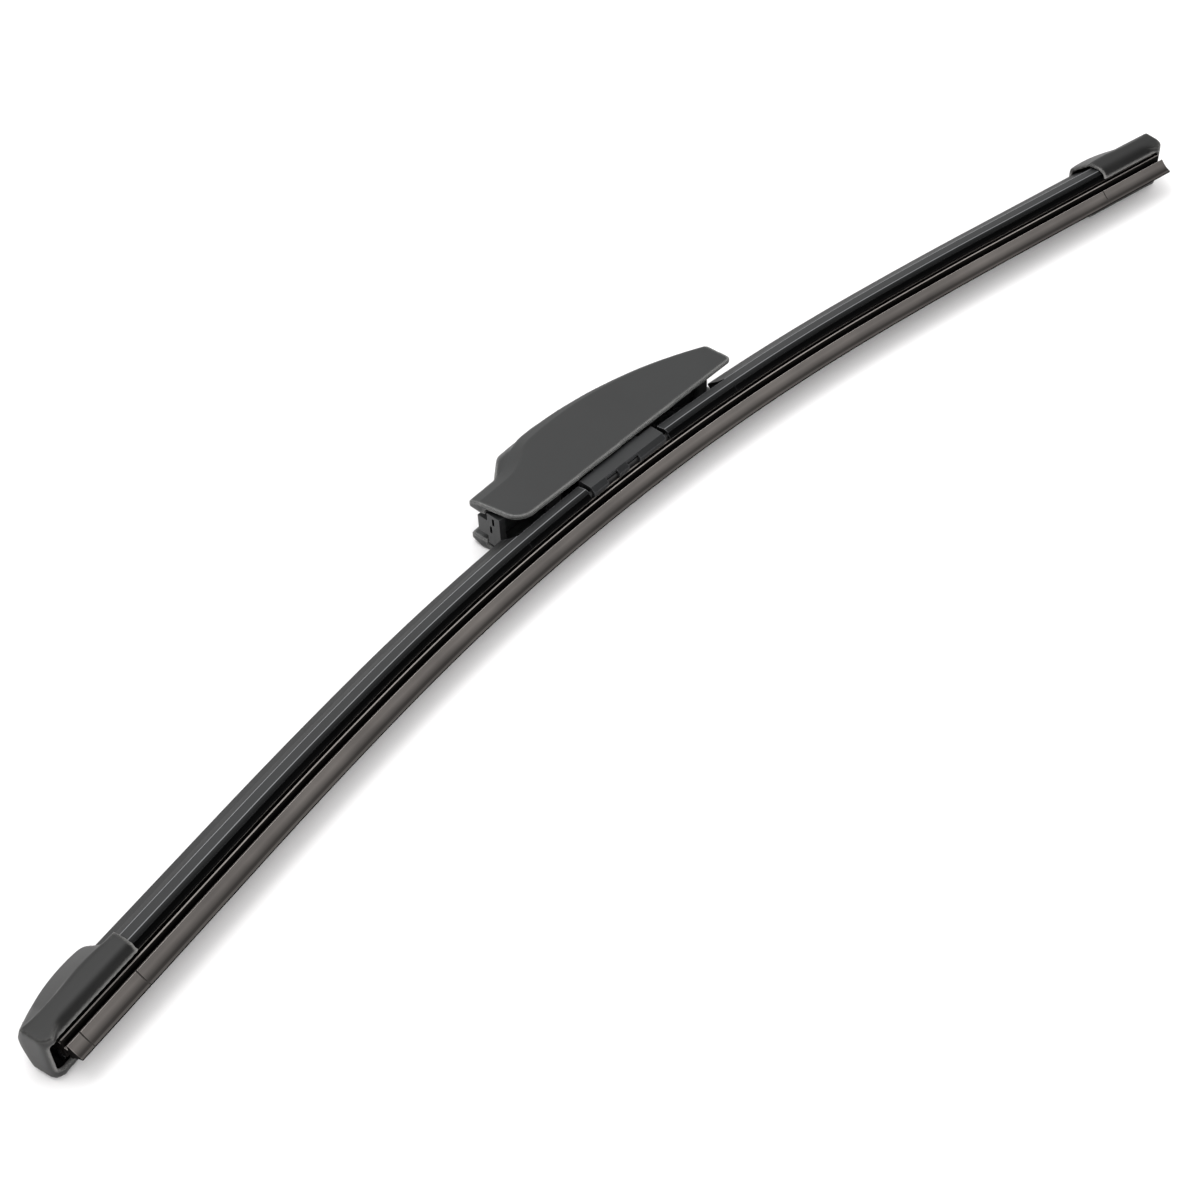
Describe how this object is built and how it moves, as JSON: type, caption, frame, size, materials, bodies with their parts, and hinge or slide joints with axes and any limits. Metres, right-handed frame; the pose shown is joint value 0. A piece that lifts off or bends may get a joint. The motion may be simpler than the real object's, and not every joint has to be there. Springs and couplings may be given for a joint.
{
  "type": "wiper blade",
  "caption": "Frameless curved windscreen wiper blade with ribbed wind deflector, hinged connector cover for a hook arm, and hooded end caps.",
  "frame": {"origin": "on the axis of the rivet that the connector rocks on, half-way across the blade", "axes": "+X along the blade towards the end that the connector's tail points to, +Y away from the glass, +Z across the blade along the rivet; the blade lies on its -Z side"},
  "size_m": [0.4576, 0.069, 0.017],
  "materials": {
    "wiping_rubber": "matt, graphite coated",
    "spring_steel": "black coated",
    "spoiler_elastomer": "fine satin",
    "coated_steel": "black powder coat",
    "rivet_steel": "black coated",
    "connector_plastic": "moulded satin",
    "cover_plastic": "moulded satin",
    "cap_plastic": "moulded satin"
  },
  "bodies": {
    "blade": {"wiping_rubber": "wiping_rubber", "rail_front": "spring_steel", "rail_rear": "spring_steel", "spoiler_left": "spoiler_elastomer", "spoiler_right": "spoiler_elastomer", "bracket": "coated_steel", "rivet": "rivet_steel", "cap_left": "cap_plastic", "cap_right": "cap_plastic"},
    "connector_body": {"connector": "connector_plastic"},
    "cover_body": {"cover": "cover_plastic"}
  },
  "joints": [
    {"name": "blade_rock", "type": "hinge", "parent": "blade", "child": "connector_body", "pos_m": [0, 0, 0], "axis": [0, 0, 1], "range_deg": [-5, 5]},
    {"name": "cover_open", "type": "hinge", "parent": "connector_body", "child": "cover_body", "pos_m": [0.0425, -0.0049, 0], "axis": [0, 0, 1], "range_deg": [-60, 0]}
  ]
}
